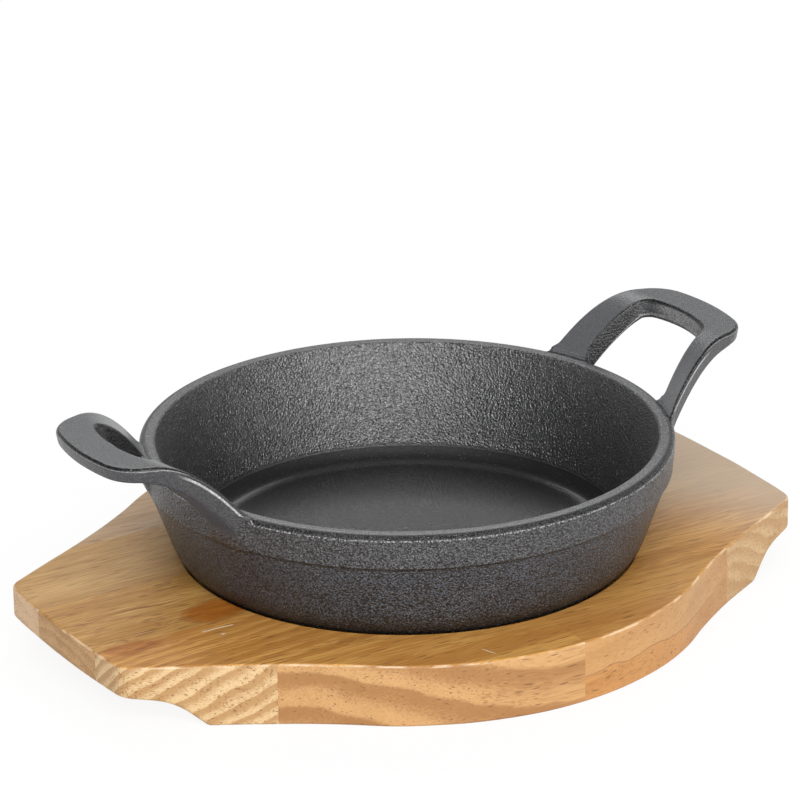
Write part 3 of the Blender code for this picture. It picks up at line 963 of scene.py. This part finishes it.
def outer_iron():
    """The outside and the handles: painted shade near the board and under the band's step."""
    s = Shader("outer_iron")
    place = s.place()
    faces, smooth, colour = iron_base(s, place, OUTER_IRON)
    height = s.axis(place, "Z")
    base = PAN_BASE * MM
    step = (RIM_LEVEL - STEP_FOOT_DEPTH) * MM
    # Painted shade, darker towards the board where the wall is shaded.
    base_shade = s.fading(height, base + 2.0, base + 15.0, 0.95)
    # Painted highlights along the rounded edges, brighter on the ramps.
    edge_highlight_tone = s.mix(s.between(faces["ramp"], 0.0, 0.4), EDGE_HIGHLIGHT_TONE, RAMP_EDGE_HIGHLIGHT_TONE)
    colour = s.mix(s.between(height, step - 0.5, step + 1.0), colour, BAND_TONE)
    colour = s.mix(base_shade, colour, BASE_SHADE_TONE)
    # Painted shade: a dark line in the crease under the band's step.
    crease_shade = s.band(height, step - 0.9, step - 0.2, step + 0.3, step + 0.9)
    colour = s.mix(s.product(crease_shade, 0.8), colour, CREASE_SHADE_TONE)
    colour = s.mix(faces["handle"], colour, HANDLE_TONE)
    colour = s.mix(faces["under"], colour, UNDERSIDE_TONE)
    colour = s.mix(s.product(faces["edge"], 0.9), colour, edge_highlight_tone)
    return finished_iron(s, place, faces, smooth, colour, OUTER_IOR, OUTER_BUMP, OUTER_GLINT_TONE)


def inner_iron(name, ior):
    """The inside, darker and glossier, with a thin painted highlight at the foot of the fillet."""
    s = Shader(name)
    place = s.place()
    faces, smooth, colour = iron_base(s, place, INNER_IRON)
    colour = s.mix(faces["bottom"], colour, FLOOR_TONE)
    # Painted highlight: a thin bright line where the fillet meets the floor.
    colour = s.mix(s.product(faces["ring"], 0.6), colour, RING_HIGHLIGHT_TONE)
    return finished_iron(s, place, faces, smooth, colour, ior, INNER_BUMP, INNER_GLINT_TONE)


# Wood
#
# Each stave: pale and deep tone of its top and of its sides, where the middle of its growth rings
# lies in Y and Z and how much that moves along X, ring width, strength of the rings, strength of
# the dark streaks, and a number that sets its noise apart. Millimetres.

STAVES = {
    "front_stave_left": dict(
        top=((0.64, 0.345, 0.090), (0.45, 0.198, 0.042)),
        side=((0.51, 0.290, 0.118), (0.32, 0.152, 0.050)),
        rings=(-30, -90), slope=(0.10, 0.02), width=10.0, bands=0.9,
        streaks=0.8, offset=11),
    "front_stave_right": dict(
        top=((0.57, 0.300, 0.080), (0.42, 0.182, 0.040)),
        side=((0.49, 0.270, 0.104), (0.37, 0.180, 0.057)),
        rings=(-20, -90), slope=(0.02, 0.01), width=9.0, bands=0.4,
        streaks=0.6, offset=23),
    "inner_front_stave": dict(
        top=((0.66, 0.350, 0.096), (0.43, 0.19, 0.039)),
        side=((0.59, 0.415, 0.220), (0.40, 0.230, 0.092)),
        rings=(-95, -40), slope=(0.05, 0.11), width=3.6, bands=1.0,
        streaks=1.2, offset=37),
    "middle_stave": dict(
        top=((0.58, 0.330, 0.098), (0.41, 0.20, 0.045)),
        side=((0.47, 0.275, 0.108), (0.33, 0.170, 0.057)),
        rings=(10, -55), slope=(0.06, 0.02), width=4.0, bands=0.5,
        streaks=1.4, offset=41),
    "inner_back_stave": dict(
        top=((0.54, 0.325, 0.120), (0.41, 0.220, 0.066)),
        side=((0.60, 0.40, 0.230), (0.46, 0.27, 0.140)),
        rings=(40, -80), slope=(0.03, 0.02), width=5.5, bands=0.3,
        streaks=1.2, offset=59),
    "back_stave": dict(
        top=((0.55, 0.375, 0.230), (0.44, 0.275, 0.145)),
        side=((0.60, 0.40, 0.230), (0.46, 0.27, 0.140)),
        rings=(80, -60), slope=(0.04, 0.01), width=6.0, bands=0.3,
        streaks=0.4, offset=67),
}
OFFSET_STEP = 31.0
BAND_WEIGHT = (0.85, 0.55)  # in the tone of the sides, and of the top
PATCH_WEIGHT = (0.25, 0.45)
FIBRE_WEIGHT = (0.25, 0.60)
STREAK_TONE = (0.23, 0.095, 0.026)
PORE_TONE = (0.15, 0.065, 0.022)
# Painted sheen: the top greys towards the right and the back, like a reflection of white
# surroundings.
PAINTED_SHEEN_TONE = (0.47, 0.385, 0.30)
WORN_TONE = (0.80, 0.64, 0.44)
DRIFT_CELL, DRIFT_REACH = (60.0, 16.0, 16.0), (0, 8.0, 8.0)
PATCH_CELL = (70.0, 8.0, 8.0)
FIBRE_CELL = (22.0, 0.50, 0.50)
STREAK_CELL = (30.0, 0.40, 0.45)
BUNDLE_CELL = (90.0, 7.0, 7.0)
PORE_CELL = (13.0, 1.15, 1.15)
WORN_CELL = (9.0, 9.0, 2.0)
SHEEN_SLANT = 0.6            # how far the grey end's bound leans over in plan
FIBRE_HEIGHT = 0.4
WOOD_ROUGHNESS = (0.44, 0.54)
WOOD_IOR = 1.42
WOOD_BUMP = 0.00008         # metres
WOOD_BUMP_STRENGTH = 0.6

# Marks on the board's top: the amber eye with its darker ring, the orange patch and the pale
# scratches. Ovals have a rim at distance 1; tints multiply the colour.
EYE = dict(centre=(-70.8, -13.6), reach=(11.5, 6.5), turn=radians(8))
EYE_TINT = (0.78, 0.48, 0.16)
EYE_RING_TONE = (0.30, 0.12, 0.03)
ORANGE = dict(centre=(-103.0, -23.5), reach=(9.0, 4.5), turn=0.0)
ORANGE_TINT = (0.80, 0.58, 0.36)
RAGGED_CELL, RAGGED_REACH = 5.0, (5, 2.5, 0)
SCRATCHES = (((-82.3, -24.8), (-71.9, -25.0), 0.34),    # start, end and width
             ((-78.6, -29.2), (-76.6, -29.0), 0.45),
             ((-22.4, -76.0), (-20.6, -81.0), 0.22))
SCRATCH_TAPER = 0.8
SCRATCH_CORE = 0.4
SCRATCH_TONE = (0.85, 0.74, 0.60)

# The line halfway up the right of the front side, and the deeper orange under it
SPLIT_HEIGHT = 8.0
SPLIT_WAVE_CELL = 16.0
SPLIT_WAVE = 5.0
SPLIT_TINT = (0.97, 0.84, 0.66)
SPLIT_LINE_TONE = (0.26, 0.12, 0.045)


def ring_turn(s, grain, look):
    """How far a point lies into its growth ring, from 0 to 1."""
    along = s.math("SUBTRACT", s.axis(grain, "X"), look["offset"] * OFFSET_STEP)
    squares = []
    for name, middle, slope in zip("YZ", look["rings"], look["slope"]):
        shifted = s.math("SUBTRACT", s.axis(grain, name), middle)
        away = s.math("SUBTRACT", shifted, s.product(along, slope))
        squares.append(s.math("POWER", away, 2))
    radius = s.math("SQRT", s.math("ADD", *squares))
    return s.math("FRACT", s.math("DIVIDE", radius, look["width"]))


def along_and_across(s, offset, way):
    """Distances along a direction in plan and across it."""
    x, y = s.axis(offset, "X"), s.axis(offset, "Y")
    return (s.math("ADD", s.product(x, way[0]), s.product(y, way[1])),
            s.math("SUBTRACT", s.product(y, way[0]), s.product(x, way[1])))


def oval_distance(s, place, centre, reach, turn):
    """Squared distance from the middle of an oval with an uneven rim, where it is 1."""
    offset = s.vector("SUBTRACT", s.moved(place, RAGGED_CELL, RAGGED_REACH), (*centre, 0))
    parts = along_and_across(s, offset, (cos(turn), sin(turn)))
    return s.math("ADD", *[s.math("POWER", s.math("DIVIDE", part, size), 2)
                           for part, size in zip(parts, reach)])


def scratch(s, place, start, end, width):
    """Share of a thin straight mark on the board's top."""
    run = Vector(end) - Vector(start)
    offset = s.vector("SUBTRACT", place, (*start, 0))
    along, across = along_and_across(s, offset, run.normalized())
    inside = s.band(along, 0.0, SCRATCH_TAPER, run.length - SCRATCH_TAPER, run.length)
    return s.product(inside, s.fading(s.math("ABSOLUTE", across), width * SCRATCH_CORE, width))


def board_marks(s, place, is_top, colour):
    """The colour with the marks on the board's top."""
    eye = oval_distance(s, place, **EYE)
    eye_share = s.product(s.fading(eye, 0.45, 1.4, 0.95), is_top)
    colour = s.mix(eye_share, colour, EYE_TINT, "MULTIPLY")
    ring = s.product(s.band(eye, 0.75, 1.0, 1.0, 1.35), 0.35, is_top)
    colour = s.mix(ring, colour, EYE_RING_TONE)
    orange = s.fading(oval_distance(s, place, **ORANGE), 0.3, 1.4, 0.80)
    colour = s.mix(s.product(orange, is_top), colour, ORANGE_TINT, "MULTIPLY")
    for mark in SCRATCHES:
        share = s.product(scratch(s, place, *mark), is_top, 0.75)
        colour = s.mix(share, colour, SCRATCH_TONE)
    return colour


def split_side(s, place, is_top, colour):
    """A wavy dark line halfway up the right of the front side, with a deeper orange under it."""
    wave = s.noise(place, SPLIT_WAVE_CELL)
    wave = s.math("MULTIPLY_ADD", wave, SPLIT_WAVE, -SPLIT_WAVE / 2)
    height = s.math("SUBTRACT", s.math("SUBTRACT", s.axis(place, "Z"), SPLIT_HEIGHT), wave)
    joint = BUTT_JOINT_X * MM
    right = s.band(s.axis(place, "X"), joint, joint + 0.1, 62.0, 70.0)
    front = s.product(right, s.fading(s.axis(place, "Y"), -50.0, -40.0), s.inverse(is_top))
    under = s.product(front, s.fading(height, -0.15, 0.15, 0.8))
    colour = s.mix(under, colour, SPLIT_TINT, "MULTIPLY")
    line = s.fading(s.math("ABSOLUTE", height), 0.10, 0.30, 0.65)
    return s.mix(s.product(front, line), colour, SPLIT_LINE_TONE)


def side_or_top(s, is_top, weights):
    side, top = weights
    return s.math("MULTIPLY_ADD", is_top, top - side, side)


def stave_tone(s, look, x, grain, fibre, is_top):
    """How deep the wood's tone is, 0 to 1: rings, which fade to the right, patches and fibres."""
    late = s.band(ring_turn(s, grain, look), 0.10, 0.80, 0.84, 1.0)
    strength = s.between(x, -20.0, 60.0, look["bands"], look["bands"] * 0.35)
    tone = s.product(late, s.product(strength, side_or_top(s, is_top, BAND_WEIGHT)))
    patch = s.between(s.noise(grain, PATCH_CELL), 0.32, 0.68)
    tone = s.math("MULTIPLY_ADD", patch, side_or_top(s, is_top, PATCH_WEIGHT), tone)
    finest = s.between(fibre, 0.36, 0.64)
    tone = s.math("MULTIPLY_ADD", finest, side_or_top(s, is_top, FIBRE_WEIGHT), tone)
    deep_end = s.product(s.between(x, 50.0, 80.0, 0.0, 0.35), s.inverse(is_top))
    return s.between(s.math("ADD", tone, deep_end), 0.05, 1.05)


def streak_share(s, look, x, grain):
    """Share of the fine dark streaks, which come in bundles and fade to the right."""
    streak = s.noise(grain, STREAK_CELL, rough=0.6)
    streak = s.between(streak, 0.54, 0.66, 0.0, 0.65 * look["streaks"])
    bundle = s.between(s.noise(grain, BUNDLE_CELL, detail=1.0), 0.38, 0.60, 0.35, 1.0)
    return s.product(streak, bundle, s.between(x, 30.0, 90.0, 1.0, 0.4))


def wood_material(stave):
    look = STAVES[stave]
    s = Shader(f"{stave}_rubberwood")
    facing = s.axis(s.normal(), "Z")
    is_top = s.between(facing, 0.45, 0.90)
    board_place = s.place()
    x = s.axis(board_place, "X")
    place = s.vector("ADD", board_place, (look["offset"] * OFFSET_STEP, 0, 0))
    grain = s.moved(place, DRIFT_CELL, DRIFT_REACH)
    fibre = s.noise(grain, FIBRE_CELL, rough=0.6)
    tone = stave_tone(s, look, x, grain, fibre, is_top)
    colour = s.mix(is_top, s.mix(tone, *look["side"]), s.mix(tone, *look["top"]))
    colour = s.mix(streak_share(s, look, x, grain), colour, STREAK_TONE)
    pore = s.fading(s.cells(grain, PORE_CELL), 0.11, 0.22, 0.70)
    colour = s.mix(pore, colour, PORE_TONE)
    # Painted sheen: the top greys towards the right and the back, as a reflection of the white
    # surroundings would.
    slanted = s.math("MULTIPLY_ADD", s.axis(board_place, "Y"), SHEEN_SLANT, x)
    painted_sheen = s.product(s.between(slanted, 35.0, 100.0, 0.0, 0.72), is_top)
    colour = s.mix(painted_sheen, colour, PAINTED_SHEEN_TONE)
    colour = board_marks(s, board_place, is_top, colour)
    colour = split_side(s, board_place, is_top, colour)
    uneven = s.between(s.noise(place, WORN_CELL, detail=3.0), 0.46, 0.62, 0.0, 0.55)
    colour = s.mix(s.product(s.band(facing, 0.20, 0.45, 0.80, 0.97), uneven), colour, WORN_TONE)
    relief = s.math("MULTIPLY_ADD", pore, -1.0, s.product(fibre, FIBRE_HEIGHT))
    roughness = s.between(fibre, 0.3, 0.7, *WOOD_ROUGHNESS)
    return s.finish(Base_Color=colour, Roughness=roughness, IOR=WOOD_IOR,
                    Normal=s.bump(relief, WOOD_BUMP, WOOD_BUMP_STRENGTH))


# Stage

FLOOR_RADIUS = 4.0
FLOOR_SEGMENTS = 96
FLOOR_COLOUR = (0.92, 0.92, 0.92)
FLOOR_ROUGHNESS = 0.9
FLOOR_WHITE = 0.90          # share of plain white where the floor is seen
WORLD_LIGHT = 0.50
CEILING_RISE = (sin(radians(4)), sin(radians(28)))
CEILING_GLOW = 0.03
WHITE = (1, 1, 1)

# Lights: azimuth from the camera to the right, elevation, width, height, and watts
SOFTBOXES = {"key": (24, 17, 2.4, 0.60, 17),
             "front": (0, 46, 1.3, 0.40, 12),
             "back": (176, 46, 1.4, 0.50, 8)}
SOFTBOX_DISTANCE = 1.5


def white_where_seen(nodes, share):
    """Share of rays that see plain white: those from the camera and from shiny surfaces."""
    rays = [nodes.node("ShaderNodeLightPath", {}, f"Is {kind} Ray")
            for kind in ("Camera", "Glossy", "Transmission")]
    return nodes.product(nodes.most(*rays), share)


def build_floor():
    bm = bmesh.new()
    bmesh.ops.create_circle(bm, cap_ends=True, radius=FLOOR_RADIUS, segments=FLOOR_SEGMENTS)
    floor = new_object("floor", bm)
    s = Shader("pale_floor")
    s.finish(Base_Color=FLOOR_COLOUR, Roughness=FLOOR_ROUGHNESS)
    glow = s.node("ShaderNodeEmission", {"Color": WHITE, "Strength": 1.0})
    seen = white_where_seen(s, FLOOR_WHITE)
    blend = s.node("ShaderNodeMixShader", {0: seen, 1: s.surface.outputs[0], 2: glow})
    s.put(s.tree.nodes["Material Output"].inputs["Surface"], blend)
    floor.data.materials.append(s.material)


def build_world():
    """Plain light from all sides; shiny surfaces see it white near the horizon and dim overhead."""
    world = bpy.data.worlds.new("studio")
    bpy.context.scene.world = world
    world.use_nodes = True
    nodes = Nodes(world.node_tree)
    light = nodes.tree.nodes["Background"]
    nodes.put(light.inputs["Color"], WHITE)
    nodes.put(light.inputs["Strength"], WORLD_LIGHT)
    height = nodes.axis(nodes.node("ShaderNodeTexCoord", {}, "Generated"), "Z")
    ceiling = nodes.between(height, *CEILING_RISE, 1.0, CEILING_GLOW)
    strength = nodes.most(nodes.node("ShaderNodeLightPath", {}, "Is Camera Ray"), ceiling)
    seen = nodes.node("ShaderNodeBackground", {"Color": WHITE, "Strength": strength})
    blend = nodes.node("ShaderNodeMixShader",
                       {0: white_where_seen(nodes, 1.0), 1: light.outputs[0], 2: seen})
    nodes.put(nodes.tree.nodes["World Output"].inputs["Surface"], blend)


def build_softbox(name, azimuth, elevation, width, height, watts):
    """An oblong light that looks at the object."""
    data = bpy.data.lights.new(name, "AREA")
    data.shape = "RECTANGLE"
    data.size = width
    data.size_y = height
    data.energy = watts
    lamp = add_object(name, data)
    turn = radians(azimuth) - pi / 2 - CAMERA_TURN
    rise = radians(elevation)
    away = Vector((cos(turn) * cos(rise), sin(turn) * cos(rise), sin(rise)))
    lamp.location = away * SOFTBOX_DISTANCE
    lamp.rotation_euler = away.to_track_quat("Z", "Y").to_euler()


def build_camera():
    side = Vector((1, 0, 0))
    ahead = Vector((0, cos(CAMERA_DIP), -sin(CAMERA_DIP)))
    above = Vector((0, sin(CAMERA_DIP), cos(CAMERA_DIP)))
    right = cos(CAMERA_ROLL) * side + sin(CAMERA_ROLL) * above
    up = cos(CAMERA_ROLL) * above - sin(CAMERA_ROLL) * side
    pose = Matrix((right, up, -ahead)).transposed().to_4x4()
    pose.translation = CAMERA_PLACE
    data = bpy.data.cameras.new("camera")
    data.sensor_width = CAMERA_SENSOR
    data.lens = CAMERA_LENS
    camera = add_object("camera", data)
    lift = Matrix.Translation((0, 0, BOARD_THICKNESS))
    camera.matrix_world = lift @ Matrix.Rotation(-CAMERA_TURN, 4, "Z") @ pose
    bpy.context.scene.camera = camera


build_camera()
build_world()
build_floor()
for softbox, setting in SOFTBOXES.items():
    build_softbox(softbox, *setting)
build_staves()
build_pan()
bpy.context.scene.view_settings.view_transform = "Standard"
